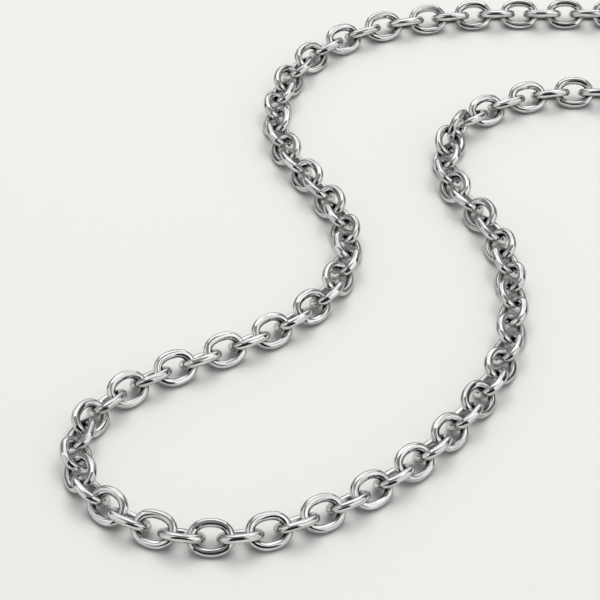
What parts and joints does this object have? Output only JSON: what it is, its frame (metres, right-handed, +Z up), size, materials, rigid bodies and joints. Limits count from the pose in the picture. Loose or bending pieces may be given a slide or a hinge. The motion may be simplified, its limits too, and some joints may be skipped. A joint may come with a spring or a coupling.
{
  "type": "cable chain necklace",
  "caption": "Necklace of plain oval wire links that interlock in one closed loop, with a small plain barrel clasp, laid down in loose winding curves.",
  "frame": {"origin": "middle of the loop's outline, on the surface that the chain lies on", "axes": "+X to the right as the picture shows it, +Y away from the viewer along the loop's longer side, +Z up out of the surface"},
  "size_m": [0.1284, 0.164, 0.0067],
  "materials": {
    "link_steel": "mirror polished steel wire",
    "clasp_steel": "polished steel, finely turned"
  },
  "bodies": {
    "root": {"chain": "link_steel", "clasp": "clasp_steel"}
  },
  "joints": []
}
